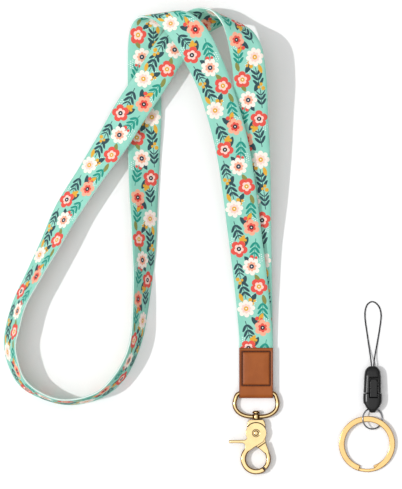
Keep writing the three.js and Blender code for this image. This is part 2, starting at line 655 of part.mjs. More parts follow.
for (const [name, from, to, step] of STRETCHES) {
  lanyard.add(part(name, ribbonStretch(from, to, step), MINT, 0.75, 0));
}
lanyard.add(part('leather_cuff', leatherCuff(), TAN, 0.55, 0));
lanyard.add(part('front_stitching', threadFront(), DARK_THREAD, 0.8, 0));
lanyard.add(part('back_stitching', threadBack(), DARK_THREAD, 0.8, 0));
lanyard.add(part('d_ring', dRing(), GOLD, 0.25, 1));
lanyard.add(part('swivel_pin', swivelPin(), GOLD, 0.25, 1));
lanyard.add(part('hook_frame', hookFrame(), GOLD, 0.25, 1));
lanyard.add(part('hook_jaw', hookJaw(), GOLD, 0.25, 1));
lanyard.add(part('pivot_rivet', pivotRivet(), GOLD, 0.25, 1));
lanyard.add(part('jaw_spring', jawSpring(), STEEL, 0.4, 1));
lanyard.add(part('phone_cord', phoneCord(), BLACK, 0.7, 0));
lanyard.add(part('cord_knot', cordKnot(), BLACK, 0.7, 0));
lanyard.add(part('buckle_socket', buckleSocket(), BLACK, 0.3, 0));
lanyard.add(part('buckle_plug', bucklePlug(), BLACK, 0.3, 0));
lanyard.add(part('buckle_latch', buckleLatch(), BLACK, 0.3, 0));
lanyard.add(part('link_ring', linkRing(), STEEL, 0.3, 1));
lanyard.add(part('key_ring', keyRing(), GOLD, 0.25, 1));

export default lanyard;
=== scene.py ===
"""The looks of a printed ribbon lanyard with its phone loop and key ring, built round its CAD frame."""

import math

import bmesh
import bpy
import numpy as np
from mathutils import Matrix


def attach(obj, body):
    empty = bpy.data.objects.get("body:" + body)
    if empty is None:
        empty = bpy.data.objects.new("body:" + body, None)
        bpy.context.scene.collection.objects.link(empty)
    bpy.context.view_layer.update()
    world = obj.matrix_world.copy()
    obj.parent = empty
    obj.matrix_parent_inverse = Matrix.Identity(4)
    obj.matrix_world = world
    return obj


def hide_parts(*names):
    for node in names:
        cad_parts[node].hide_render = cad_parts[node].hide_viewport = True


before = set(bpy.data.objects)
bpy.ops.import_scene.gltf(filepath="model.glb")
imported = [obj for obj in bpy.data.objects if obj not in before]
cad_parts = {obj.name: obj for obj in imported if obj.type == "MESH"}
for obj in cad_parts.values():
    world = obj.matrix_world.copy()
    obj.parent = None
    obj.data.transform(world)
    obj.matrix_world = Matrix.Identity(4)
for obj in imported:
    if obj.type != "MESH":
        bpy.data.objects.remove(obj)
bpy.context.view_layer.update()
scene = bpy.context.scene

MM = 0.001
TAU = 2 * math.pi

# ---- Driving dimensions, in millimetres and radians -----------------------------------------

RIBBON_WIDTH = 20
RIBBON_THICK = 1.1
RIBBON_STEP = 1.2
# Where the skin's points lie across the ribbon, from its right edge to its left. The woven edge is
# thinner than the middle by a share.
RIBBON_EDGE_SHARE = 0.62
RIBBON_LANES = [-1, -0.985, -0.75, -0.5, -0.25, 0, 0.25, 0.5, 0.75, 0.985, 1]
WEAVE_PITCH = 0.42
SELVEDGE_PITCH = 0.8
PRINT_REPEAT = 61
FRONT_PRINT_START = 0
BACK_PRINT_START = 23

CUFF_WIDTH = 20.2
CUFF_TOP = 15
CUFF_THICK = 5.7
LEATHER = 1.2
BAR_Y = -12.4
MID_Z = CUFF_THICK / 2
STITCH_HALF_WIDTH = 8.4
STITCH_LOW = -7.5
STITCH_HIGH = 12.8
STITCH_LENGTH = 1.75
STITCH_FILL = 0.8
STITCH_DIP = 0.3
THREAD_RADIUS = 0.34
THREAD_SIDES = 8
FRONT_STITCH_Z = CUFF_THICK - 0.12
BACK_STITCH_Z = 0.42
GROOVE_DEPTH = 0.4
GROOVE_SPREAD = 0.65
PUFF_HEIGHT = 0.3
PUFF_START = 0.6
PUFF_SPREAD = 3.2
PUFF_ROUNDNESS = 0.7
# The seam's darkness is painted shade in its groove.
SEAM_DARKNESS = 0.85
SEAM_SHADE_SPREAD = 0.6
EDGE_DARKNESS = 0.75
SIDE_WEAR_SPREAD = 0.5
MOUTH_WEAR_SPREAD = 0.4

D_WIRE = 2.6
D_BOTTOM_Y = -26.3
BOSS_RADIUS = 2.5
BOSS_LENGTH = 3
BOSS_BORE_GAP = 0.3
BOSS_EASE = 0.35
PIN_RADIUS = 1.15
PIN_HEAD_RADIUS = 2.2
PIN_HEAD_LENGTH = 1.9
PIN_ROOT_Y = -29.3
PIN_HEAD_GAP = 0.3
RIVET_Y = -36.1
RIVET_RADIUS = 1.1
RIVET_HEAD_RADIUS = 1.7
RIVET_PROUD = 0.35
HOOK_HALF_THICK = 2.4
HOOK_ROUND_Y = -43
ROUNDING_PASSES = 24
ROUNDING_EASE = 4
METAL_VOXEL = 0.13
METAL_PASSES = 9
PLASTIC_VOXEL = 0.13
PLASTIC_PASSES = 16

PHONE_X = 69.8
CORD_DIAMETER = 0.8
LINK_RADIUS = 6.25
LINK_WIRE = 0.9
LINK_TOP_Y = -21.2
LINK_Z = 2.65
LINK_ROLL = math.radians(19.5)
LINK_JOINT = 0.02
KEY_X = 66.5
KEY_Y = -42.7
KEY_OUTER = 16.8
KEY_WIDTH = 3.3
KEY_BRIDGE_WIDTH = 1.8
KEY_LAYER = 0.75
KEY_LAYER_GAP = 0.12
KEY_RISE = 2.25
KEY_BRIDGE = math.radians(34)
KEY_TAPER_ANGLE = 0.3
KEY_EASE = 0.14
KEY_BRIM = 0.55

VIEW_X = -33
VIEW_Y = 76.9
VIEW_HEIGHT = 293.4
LENS = 400
SENSOR = 36
SUN_SLANT = math.radians(-36)

# The ribbon's route, as in the CAD model: [x, y, z, tilt], or the two ends of a slanting line.
ROUTE = [
    [0, -7.4, 2.1, 0], [0, 13, 2.1, 0], [0, 20, 2.35, 0], [-0.4, 43.6, 5.5, 0],
    [-0.9, 76.6, 9, 0], [-1.2, 103.6, 14, 0], [-2, 133.6, 18.5, 0], [-3, 152.2, 21, 0],
    [-13.8, 177.5, 24.6, 6, 175.6, 24], [-16.2, 193.6, 27, 3.3, 194.2, 25],
    [-18.3, 202.9, 27.5, 0.3, 200.4, 23.5], [-20.4, 208.6, 27, -2.6, 204, 20.5],
    [-23.4, 213.1, 25, -6, 206.6, 16.5], [-27, 216.4, 21.5, -9.6, 208.6, 12],
    [-31.2, 218, 17, -12.8, 209.4, 8], [-35.4, 218.3, 14, -17, 209, 5.5],
    [-40.8, 216.5, 12.5, -22.4, 207, 5.5], [-47.4, 211.6, 12, -30, 202, 7.8],
    [-53.7, 205.9, 12, -37.5, 193.4, 10.2], [-53.6, 189.6, 11, 182], [-62.4, 175.6, 10.2, 185],
    [-75, 156.7, 9.4, 186], [-85.2, 139.6, 8.5, 200], [-99.1, 118.6, 8, 216], [-113.7, 95.8, 8, 222],
    [-123.4, 76.6, 8.6, 234], [-133.1, 58.1, 9.2, 242], [-141.7, 40.9, 9.5, 246],
    [-145.9, 25.6, 9.5, 246], [-147.2, 17.3, 9.6, 249], [-145.6, 7, 9.7, 251], [-139.2, -6.2, 9.9, 256],
    [-124.2, -15.2, 10.1, 262], [-110.8, -17.3, 10.1, 261], [-93.6, -12.8, 10, 258],
    [-82.2, -2.6, 9.8, 253], [-75, 10.3, 9.8, 253], [-71.3, 22.9, 9.7, 250], [-70, 33.4, 9.5, 246],
    [-67.9, 57.4, 8.8, 236], [-67.2, 77.8, 7.7, 225], [-67.2, 92.2, 7.2, 220], [-67.4, 106.6, 6.2, 212],
    [-67.2, 130, 4.8, 200], [-66.9, 151.6, 3.2, 183], [-66.9, 175.6, 3.2, 180], [-66.8, 190, 3.6, 180],
    [-56.4, 201, 4.4, -76.4, 200, 3.4], [-55.2, 207, 6, -75.3, 206, 4.2],
    [-53.8, 211.8, 9.5, -73.4, 210.2, 6.8], [-51.4, 214.7, 15.5, -71.2, 212.3, 11],
    [-48, 215.8, 21, -68.6, 212.9, 15.6], [-43.8, 215.7, 24.6, -65.4, 212.4, 19.2],
    [-39.6, 214.6, 26.2, -61.8, 211, 21.6], [-35.5, 212, 26.8, -57.9, 208, 23],
    [-31.2, 207.7, 26.8, -52.8, 202, 24], [-26.7, 200.8, 26.6, -48, 195.2, 24.6],
    [-22.8, 192.7, 26.3, -43.2, 186.6, 24.8], [-26, 174.4, 25.6, 0],
    [-18.6, 151.8, 24.4, 0], [-13.2, 128.9, 22, 0],
    [-6, 76.6, 12.5, 0], [-3.1, 53.2, 9.3, 0], [0, 20, 4, 0], [0, 13, 3.65, 0], [0, -7.4, 3.6, 0],
]

D_SIDE = [
    [10.1, -12.4], [11.5, -13.4], [12.4, -15.8], [12.9, -18.7], [12.1, -21.8], [9.7, -24.4], [5.6, -26],
]

CORD_ROUTE = [
    [-0.65, 0.6, 3.6], [-0.65, 3.2, 3.6], [-0.75, 5.5, 3.2], [-1.1, 9, 2], [-1.8, 14, 0.9],
    [-2.6, 19.5, 0.5], [-3.4, 25, 0.42], [-4.2, 30.5, 0.42], [-4.5, 34.5, 0.42], [-4.1, 38.3, 0.42],
    [-2.7, 41.3, 0.42], [-0.2, 42.6, 0.42], [2.4, 41.5, 0.42], [4.4, 38.6, 0.42], [5.2, 34.8, 0.42],
    [5, 31, 0.42], [4.2, 25.5, 0.42], [3.2, 19.5, 0.5], [2.2, 14, 0.9], [1.3, 9, 2],
    [0.85, 5.5, 3.2], [0.65, 3.2, 3.6], [0.65, 0.6, 3.6],
]


# ---- Camera and light -----------------------------------------------------------------------

def add_camera():
    """A long lens straight above, so far off that nothing is foreshortened."""
    data = bpy.data.cameras.new("camera")
    data.lens = LENS
    data.sensor_width = SENSOR
    data.clip_start = 0.05
    data.clip_end = 50
    camera = bpy.data.objects.new("camera", data)
    camera.location = (VIEW_X * MM, VIEW_Y * MM, VIEW_HEIGHT * MM * LENS / SENSOR)
    scene.collection.objects.link(camera)
    scene.camera = camera


def add_sun():
    data = bpy.data.lights.new("sun", "SUN")
    data.energy = 1.45
    data.angle = math.radians(1.2)
    sun = bpy.data.objects.new("sun", data)
    sun.rotation_euler = (0, SUN_SLANT, 0)
    scene.collection.objects.link(sun)


def add_studio():
    """A bright ceiling over dark walls for the metal and plastic to mirror, brighter to the left."""
    side_fall = 0.3
    world = bpy.data.worlds.new("studio")
    scene.world = world
    world.use_nodes = True
    nodes, links = world.node_tree.nodes, world.node_tree.links
    coordinate = nodes.new("ShaderNodeTexCoord")
    split = nodes.new("ShaderNodeSeparateXYZ")
    ramp = nodes.new("ShaderNodeValToRGB")
    stops = [(0.0, 0.4), (0.06, 0.2), (0.45, 0.2), (0.62, 0.66), (0.86, 0.74), (0.93, 1.17), (1.0, 1.17)]
    while len(ramp.color_ramp.elements) < len(stops):
        ramp.color_ramp.elements.new(0.5)
    for element, (place, grey) in zip(ramp.color_ramp.elements, stops):
        element.position = place
        element.color = (grey, grey, grey, 1)
    links.new(coordinate.outputs["Generated"], split.inputs[0])
    links.new(split.outputs["Z"], ramp.inputs[0])
    links.new(ramp.outputs[0], nodes["Background"].inputs["Color"])
    Num.tree = world.node_tree
    strength = 1.12 - Num(split.outputs["X"]) * side_fall
    links.new(strength.socket, nodes["Background"].inputs["Strength"])
    scene.view_settings.view_transform = "Standard"


def add_floor():
    size = 6
    mesh = bpy.data.meshes.new("floor")
    corners = [(-size, -size, 0), (size, -size, 0), (size, size, 0), (-size, size, 0)]
    mesh.from_pydata(corners, [], [(0, 1, 2, 3)])
    floor = bpy.data.objects.new("floor", mesh)
    scene.collection.objects.link(floor)
    material, shader = new_material("floor")
    shader.inputs["Base Color"].default_value = (0.98, 0.98, 0.985, 1)
    shader.inputs["Roughness"].default_value = 0.9
    shader.inputs["Specular IOR Level"].default_value = 0.1
    mesh.materials.append(material)


# ---- Curves and meshes ----------------------------------------------------------------------

def catmull_rom(points, stop, part):
    """A point on the centripetal Catmull-Rom curve through points, part of the way after a stop."""
    p1, p2 = points[stop], points[stop + 1]
    p0 = points[stop - 1] if stop > 0 else 2 * p1 - p2
    p3 = points[stop + 2] if stop + 2 < len(points) else 2 * p2 - p1
    d0, d1, d2 = (math.sqrt(np.linalg.norm(b - a)) for a, b in ((p0, p1), (p1, p2), (p2, p3)))
    m1 = ((p1 - p0) / d0 - (p2 - p0) / (d0 + d1) + (p2 - p1) / d1) * d1
    m2 = ((p2 - p1) / d1 - (p3 - p1) / (d1 + d2) + (p3 - p2) / d2) * d1
    cubic = 2 * p1 - 2 * p2 + m1 + m2
    square = 3 * (p2 - p1) - 2 * m1 - m2
    return p1 + part * (m1 + part * (square + part * cubic))


def smooth_path(points, steps, closed=False):
    """A smooth curve through the points, with so many steps from each to the next."""
    points = [np.array(p, float) for p in points]
    if closed:
        wrapped = points[-1:] + points + points[:2]
        return [catmull_rom(wrapped, i + 1, k / steps) for i in range(len(points)) for k in range(steps)]
    path = [catmull_rom(points, i, k / steps) for i in range(len(points) - 1) for k in range(steps)]
    return path + [points[-1]]


def mesh_object(name, points, faces, materials):
    mesh = bpy.data.meshes.new(name)
    mesh.from_pydata([tuple(np.array(p) * MM) for p in points], [], faces)
    for material in materials:
        mesh.materials.append(material)
    mesh.update()
    mesh.shade_smooth()
    thing = bpy.data.objects.new(name, mesh)
    scene.collection.objects.link(thing)
    return thing


def loft_faces(rings, count, closed=False):
    """Faces between rings of count points each. An open row of rings is capped at both ends."""
    faces = []
    spans = rings if closed else rings - 1
    for i in range(spans):
        here, there = i * count, ((i + 1) % rings) * count
        for j in range(count):
            k = (j + 1) % count
            faces.append((here + j, here + k, there + k, there + j))
    if not closed:
        faces.append(tuple(reversed(range(count))))
        faces.append(tuple(range((rings - 1) * count, rings * count)))
    return faces


def tube_rings(path, radius, sides, closed=False):
    """Rings of points round a path, turned as little as possible from one to the next."""
    path = [np.array(p, float) for p in path]
    count = len(path)
    normal = None
    rings = []
    for i, centre in enumerate(path):
        if closed:
            along = path[(i + 1) % count] - path[i - 1]
        else:
            along = path[min(i + 1, count - 1)] - path[max(i - 1, 0)]
        along /= np.linalg.norm(along)
        if normal is None:
            normal = np.array([0, 0, 1.0]) if abs(along[2]) < 0.9 else np.array([1.0, 0, 0])
        normal = normal - along * normal.dot(along)
        normal /= np.linalg.norm(normal)
        side = np.cross(along, normal)
        for j in range(sides):
            angle = TAU * j / sides
            rings.append(centre + radius * (normal * math.cos(angle) + side * math.sin(angle)))
    return rings


def tube(name, path, radius, sides, material, closed=False):
    rings = tube_rings(path, radius, sides, closed)
    return mesh_object(name, rings, loft_faces(len(path), sides, closed), [material])


def lathe_y(name, profile, sides, material, centre):
    """A turned piece: [radius, y] pairs spun about a line along Y through the centre's x and z."""
    points = []
    for radius, y in profile:
        for j in range(sides):
            angle = TAU * j / sides
            points.append((centre[0] + radius * math.sin(angle), y, centre[1] + radius * math.cos(angle)))
    return mesh_object(name, points, loft_faces(len(profile), sides), [material])


def paint_dark_edge_reflection(mesh):
    """Stores where the metal gets a painted dark reflection and shade: where a face starts to turn down over
    its edge, and less down the upright sides. It is measured at rest, so a piece keeps its tones as it
    swings."""
    turn_gain = 8
    side_tone = 0.3
    side_gain = 1.4
    values = []
    for vert in mesh.vertices:
        level = abs(vert.normal.z)
        values.append(min((1 - level) * turn_gain, 1.0) * min(1.0, side_tone + side_gain * level))
    layer = mesh.attributes.new("edge", "FLOAT", "POINT")
    layer.data.foreach_set("value", values)


def replace(piece, body, slot, node):
    """Puts a piece on its body, in place of the plain CAD node."""
    # Metal pieces get a painted dark reflection and shade along their edges.
    if slot in ("gold_metal", "steel"):
        paint_dark_edge_reflection(piece.data)
    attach(piece, body)
    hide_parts(node)


def round_off(mesh, level):
    """Rounds the mesh's section away below a level of y, easing in over a few millimetres."""
    shape = bmesh.new()
    shape.from_mesh(mesh)
    for number in range(ROUNDING_PASSES):
        reach = (level - ROUNDING_EASE * number / ROUNDING_PASSES) * MM
        low = [vert for vert in shape.verts if vert.co.y < reach]
        bmesh.ops.smooth_vert(shape, verts=low, factor=0.5, use_axis_x=True, use_axis_y=True, use_axis_z=True)
    shape.to_mesh(mesh)
    shape.free()


def cast_copy(name, node, body, slot, material, voxel, passes, round_below=None):
    """A CAD solid with its corners rounded off all over, as a cast or moulded piece has them.
    Below the line y = round_below its section becomes nearly round. It replaces the CAD node."""
    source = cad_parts[node]
    piece = bpy.data.objects.new(name, source.data.copy())
    scene.collection.objects.link(piece)
    remesh = piece.modifiers.new("remesh", "REMESH")
    remesh.mode = "VOXEL"
    remesh.voxel_size = voxel * MM
    soften = piece.modifiers.new("soften", "SMOOTH")
    soften.iterations = passes
    soften.factor = 0.5
    bpy.context.view_layer.update()
    graph = bpy.context.evaluated_depsgraph_get()
    mesh = bpy.data.meshes.new_from_object(piece.evaluated_get(graph))
    piece.modifiers.clear()
    piece.data = mesh
    if round_below is not None:
        round_off(mesh, round_below)
    mesh.materials.clear()
    mesh.materials.append(material)
    mesh.shade_smooth()
    replace(piece, body, slot, node)
    return piece


# ---- Materials ------------------------------------------------------------------------------

def linear(red, green, blue):
    """A screen colour, 0 to 255 a channel, as the linear light that a shader wants."""
    def channel(value):
        value /= 255
        return value / 12.92 if value <= 0.04045 else ((value + 0.055) / 1.055) ** 2.4
    return (channel(red), channel(green), channel(blue), 1)


def new_material(name):
    """A new material and its shader. The formulas that follow are drawn in its tree."""
    material = bpy.data.materials.new(name)
    material.use_nodes = True
    Num.tree = material.node_tree
    return material, material.node_tree.nodes["Principled BSDF"]


class Num:
    """A number worked out by shader nodes, so that a pattern reads as a formula."""

    tree = None

    def __init__(self, socket):
        self.socket = socket

    @classmethod
    def of(cls, operation, *values):
        node = cls.tree.nodes.new("ShaderNodeMath")
        node.operation = operation
        for socket, value in zip(node.inputs, values):
            if isinstance(value, Num):
                cls.tree.links.new(value.socket, socket)
            else:
                socket.default_value = value
        return cls(node.outputs[0])

    def __add__(self, other):
        return Num.of("ADD", self, other)

    def __sub__(self, other):
        return Num.of("SUBTRACT", self, other)

    def __rsub__(self, other):
        return Num.of("SUBTRACT", other, self)

    def __mul__(self, other):
        return Num.of("MULTIPLY", self, other)

    __radd__ = __add__
    __rmul__ = __mul__

    def __truediv__(self, other):
        return Num.of("DIVIDE", self, other)

    def __lt__(self, other):
        return Num.of("LESS_THAN", self, other)

    def __gt__(self, other):
        return Num.of("GREATER_THAN", self, other)

    def __and__(self, other):
        return Num.of("MINIMUM", self, other)

    def __abs__(self):
        return Num.of("ABSOLUTE", self)


def length_of(x, y):
    return Num.of("SQRT", x * x + y * y)


def angle_of(x, y):
    return Num.of("ARCTAN2", y, x)


def attribute(name):
    """A number stored on the mesh's points."""
    node = Num.tree.nodes.new("ShaderNodeAttribute")
    node.attribute_name = name
    return Num(node.outputs["Fac"])


def paint(shader, colour):
    Num.tree.links.new(colour, shader.inputs["Base Color"])


def roughen(shader, roughness):
    Num.tree.links.new(roughness.socket, shader.inputs["Roughness"])


def bump(shader, height, distance, strength):
    """Relief that catches the light as if it were so many millimetres deep."""
    tree = Num.tree
    node = tree.nodes.new("ShaderNodeBump")
    node.inputs["Distance"].default_value = distance * MM
    node.inputs["Strength"].default_value = strength
    tree.links.new(height.socket, node.inputs["Height"])
    tree.links.new(node.outputs[0], shader.inputs["Normal"])


def noise(scale, detail):
    tree = Num.tree
    node = tree.nodes.new("ShaderNodeTexNoise")
    node.inputs["Scale"].default_value = scale
    node.inputs["Detail"].default_value = detail
    tree.links.new(tree.nodes.new("ShaderNodeTexCoord").outputs["Object"], node.inputs["Vector"])
    return Num(node.outputs[0])


def blend_colours(first, second, share):
    """The first colour where share is 0 and the second where it is 1."""
    tree = Num.tree
    node = tree.nodes.new("ShaderNodeMix")
    node.data_type = "RGBA"
    sockets = {socket.identifier: socket for socket in node.inputs}
    for name, value in (("Factor_Float", share), ("A_Color", first), ("B_Color", second)):
        if isinstance(value, Num):
            tree.links.new(value.socket, sockets[name])
        elif isinstance(value, bpy.types.NodeSocket):
            tree.links.new(value, sockets[name])
        else:
            sockets[name].default_value = value
    return next(socket for socket in node.outputs if socket.identifier == "Result_Color")


# ---- The floral print -----------------------------------------------------------------------

MINT = linear(156, 219, 201)
DEEP_MINT = linear(134, 207, 187)
PALE_MINT = linear(240, 246, 242)
CORAL = linear(232, 82, 70)
BLUSH = linear(252, 214, 202)
CREAM = linear(255, 241, 230)
GOLDEN = linear(230, 172, 52)
SLATE = linear(42, 74, 82)
TEAL = linear(22, 148, 130)
NAVY = linear(24, 52, 74)
PEACH = linear(250, 176, 146)
OLIVE = linear(138, 140, 70)
WHITE = linear(246, 250, 248)
DARK = linear(44, 34, 40)

# Shapes of the motifs: shares of a flower's radius, powers that fatten a leaf, and millimetres.
PETAL_DEPTH = 0.36
PETAL_ROUNDNESS = 0.5
THROAT_SHARE = 0.55
HEART_SHARE = 0.26
SEED_SHARE = 0.08
LEAF_FULLNESS = 0.75
LEAFLET_FULLNESS = 0.7
LEAFLET_SHARE = 0.4
STEM_HALF_WIDTH = 0.22
STEM_TAIL = 1
BERRY_CLUSTER = [(0, 0, 1.2), (2.3, 1.1, 1.0), (0.7, 2.5, 0.85)]
DOT_SPACING = 1.3
DOT_RADIUS = 0.3


class Print:
    """The ribbon's surface, measured in millimetres along (s) and across (w), and its ink so far."""

    def __init__(self, s, w, ground):
        self.s = s
        self.w = w
        self.colour = ground

    def ink(self, mask, colour):
        self.colour = blend_colours(self.colour, colour, mask)

    def spot(self, s, w, degrees=0):
        """How far each point lies from one place of the repeat, along a direction and to its left."""
        x = Num.of("WRAP", self.s - s, PRINT_REPEAT / 2, -PRINT_REPEAT / 2)
        y = self.w - w
        c, n = math.cos(math.radians(degrees)), math.sin(math.radians(degrees))
        return x * c + y * n, y * c - x * n

    def leaf(self, s, w, degrees, length, width, colour):
        """A leaf pointed at both ends."""
        x, y = self.spot(s, w, degrees)
        t = x / length
        reach = Num.of("POWER", t * (1 - t) * 4, LEAF_FULLNESS) * (width / 2)
        self.ink((abs(y) < reach) & (t > 0) & (t < 1), colour)

    def spray(self, s, w, degrees, length, reach, spacing, colour):
        """A straight stem with a row of slanting leaves down both of its sides."""
        x, y = self.spot(s, w, degrees)
        out = abs(y)
        base = x - out
        cell = abs(Num.of("FRACT", base / spacing) - 0.5)
        t = out / reach
        swell = Num.of("POWER", t * (1 - t) * 4, LEAFLET_FULLNESS) * LEAFLET_SHARE
        self.ink((cell < swell) & (t < 1) & (base > 0) & (base < length), colour)
        self.ink((out < STEM_HALF_WIDTH) & (x > -STEM_TAIL) & (x < length + spacing), colour)

    def blossom(self, s, w, radius, petals, colour, shade, heart):
        """An open flower of round petals, a shaded throat and a dotted heart."""
        x, y = self.spot(s, w)
        r = length_of(x, y)
        turn = angle_of(x, y)
        lobe = Num.of("POWER", abs(Num.of("COSINE", turn * (petals / 2))), PETAL_ROUNDNESS)
        rim = (lobe * PETAL_DEPTH + (1 - PETAL_DEPTH)) * radius
        self.ink(r < rim, colour)
        self.ink(r < rim * THROAT_SHARE, shade)
        self.ink(r < radius * HEART_SHARE, heart)
        self.ink(r < radius * SEED_SHARE, WHITE)

    def berries(self, s, w, colour):
        """Three round berries beside each other."""
        for ds, dw, radius in BERRY_CLUSTER:
            x, y = self.spot(s + ds, w + dw)
            self.ink(length_of(x, y) < radius, colour)

    def dots(self, s, w, length, width):
        """An oval patch of small white dots in staggered rows."""
        x, y = self.spot(s, w)
        row = Num.of("FLOOR", y / DOT_SPACING)
        u = Num.of("FRACT", x / DOT_SPACING + row * 0.5) - 0.5
        v = Num.of("FRACT", y / DOT_SPACING) - 0.5
        inside = length_of(x / (length / 2), y / (width / 2)) < 1
        self.ink(inside & (length_of(u, v) < DOT_RADIUS / DOT_SPACING), WHITE)


# A plain all-over scatter. Each motif has its place along and across the ribbon, then what its
# function in Print takes: an angle in degrees, sizes in millimetres, and colours.
DOTS = [(9, 0, 7, 5), (22, 6.6, 6, 4), (34, -7.4, 7, 4), (45.5, 7.6, 6, 4)]
SPRAYS = [
    (-4, -5.6, 8, 9, 3.4, 3.2, SLATE), (10.5, 6, -6, 8, 3.2, 3, TEAL), (22.5, -5.4, 10, 8, 3.4, 3.2, SLATE),
    (34.5, 6, -12, 8, 3.2, 3, TEAL), (46, -6.6, 4, 7, 3, 2.8, SLATE),
]
LEAVES = [
    (5.4, 2.4, -34, 7, 3, SLATE), (6.6, 6.4, 10, 6, 2.6, OLIVE), (19.5, -1.6, 32, 7, 3, SLATE),
    (9.6, -6, 196, 5.5, 2.4, GOLDEN), (31.8, 1.6, -30, 7, 3, SLATE), (22.6, 2.6, 150, 5.5, 2.6, GOLDEN),
    (43.4, -2, 34, 6.5, 2.8, SLATE), (35.2, -3.2, 148, 5.5, 2.6, GOLDEN), (55, 3, 24, 6.5, 2.8, OLIVE),
    (55, -2.4, -26, 6, 2.8, SLATE),
]
BERRIES = [
    (9, -1.4, GOLDEN), (20.6, 1.6, CORAL), (33, -2.6, GOLDEN), (44.4, 2.4, CORAL),
    (56.8, -7.6, GOLDEN),
]
BLOSSOMS = [
    (1.5, 4.6, 5.2, 5, CORAL, BLUSH, GOLDEN), (14, -4.4, 5.4, 8, CREAM, BLUSH, GOLDEN),
    (26.5, 4.4, 5, 6, PEACH, CORAL, DARK), (38.5, -4.6, 5.2, 5, CORAL, BLUSH, DARK),
    (50, 1.6, 5.4, 8, CREAM, PEACH, NAVY),
]


def print_florals(design):
    """One repeat of the print, from the back to the front of its layers."""
    for dots in DOTS:
        design.dots(*dots)
    for spray in SPRAYS:
        design.spray(*spray)
    for leaf in LEAVES:
        design.leaf(*leaf)
    for berries in BERRIES:
        design.berries(*berries)
    for blossom in BLOSSOMS:
        design.blossom(*blossom)


def ribbon_place():
    """Millimetres along the ribbon, and across it from its middle line."""
    nodes, links = Num.tree.nodes, Num.tree.links
    uv = nodes.new("ShaderNodeUVMap")
    uv.uv_map = "ribbon"
    split = nodes.new("ShaderNodeSeparateXYZ")
    links.new(uv.outputs[0], split.inputs[0])
    along = Num(split.outputs["X"]) * (1 / MM)
    across = Num(split.outputs["Y"]) * RIBBON_WIDTH - RIBBON_WIDTH / 2
    return along, across


def fabric_material():
    material, shader = new_material("printed_ribbon")
    s, w = ribbon_place()
    ground = blend_colours(MINT, DEEP_MINT, noise(90, 3) * 1.6 - 0.4)
    design = Print(s, w, ground)
    print_florals(design)
    warp = Num.of("SINE", w * (TAU / WEAVE_PITCH))
    weft = Num.of("SINE", (s + w) * (TAU / WEAVE_PITCH))
    weave = warp * weft
    glint = 0.02
    paint(shader, blend_colours(design.colour, PALE_MINT, (weave + 1) * glint))
    bump(shader, weave * 0.5 + 0.5, 0.06, 0.5)
    shader.inputs["Roughness"].default_value = 0.72
    shader.inputs["Specular IOR Level"].default_value = 0.12
    return material


def selvedge_material():
    material, shader = new_material("ribbon_selvedge")
    along = ribbon_place()[0]
    stitch = Num.of("SINE", along * (TAU / SELVEDGE_PITCH)) * 0.5 + 0.5
    paint(shader, blend_colours(linear(214, 226, 220), linear(250, 252, 250), stitch))
    bump(shader, stitch, 0.1, 0.6)
    shader.inputs["Roughness"].default_value = 0.85
    return material


# ---- Ribbon ---------------------------------------------------------------------------------

def stop_centre(number):
    """The middle of a stop of the route, or of the first or last stop beyond its ends."""
    stop = ROUTE[min(max(number, 0), len(ROUTE) - 1)]
    if len(stop) == 4:
        return np.array(stop[:3], float)
    return (np.array(stop[:3], float) + np.array(stop[3:], float)) / 2


def stop_edges(number):
    """The ribbon's left and right edge at a stop of the route."""
    stop = ROUTE[number]
    if len(stop) == 6:
        return np.array(stop[:3], float), np.array(stop[3:], float)
    tilt = math.radians(stop[3])
    along = stop_centre(number + 1) - stop_centre(number - 1)
    along /= np.linalg.norm(along)
    level = np.array([-along[1], along[0], 0])
    across = level / np.linalg.norm(level) * math.cos(tilt) + np.array([0, 0, math.sin(tilt)])
    across -= along * across.dot(along)
    across *= RIBBON_WIDTH / 2 / np.linalg.norm(across)
    return stop_centre(number) + across, stop_centre(number) - across


def ribbon_rows():
    """Left and right edge points of the ribbon, close together along its whole route."""
    edges = [stop_edges(i) for i in range(len(ROUTE))]
    lefts = [left for left, right in edges]
    rights = [right for left, right in edges]
    rows = []
    for i in range(len(ROUTE) - 1):
        steps = max(3, round(np.linalg.norm(stop_centre(i + 1) - stop_centre(i)) / RIBBON_STEP))
        for k in range(steps):
            rows.append((catmull_rom(lefts, i, k / steps), catmull_rom(rights, i, k / steps)))
    rows.append(edges[-1])
    return rows


def ribbon_skin(rows):
    """The skin's points, row by row; how far along each row lies and how far it leans; and the length."""
    centres = [(left + right) / 2 for left, right in rows]
    points, travel = [], []
    length = 0.0
    for i, (left, right) in enumerate(rows):
        ahead = centres[min(i + 1, len(rows) - 1)] - centres[max(i - 1, 0)]
        if i:
            length += np.linalg.norm(centres[i] - centres[i - 1])
        along = ahead / np.linalg.norm(ahead)
        line = (left - right) / 2
        face = np.cross(along, line)
        face *= RIBBON_THICK / 2 / np.linalg.norm(face)
        for side, lanes in ((1, RIBBON_LANES), (-1, RIBBON_LANES[::-1])):
            for lane in lanes:
                share = RIBBON_EDGE_SHARE if abs(lane) == 1 else 1
                points.append(centres[i] + line * lane + face * (side * share))
        travel.append((length, line.dot(along)))
    return points, travel, length


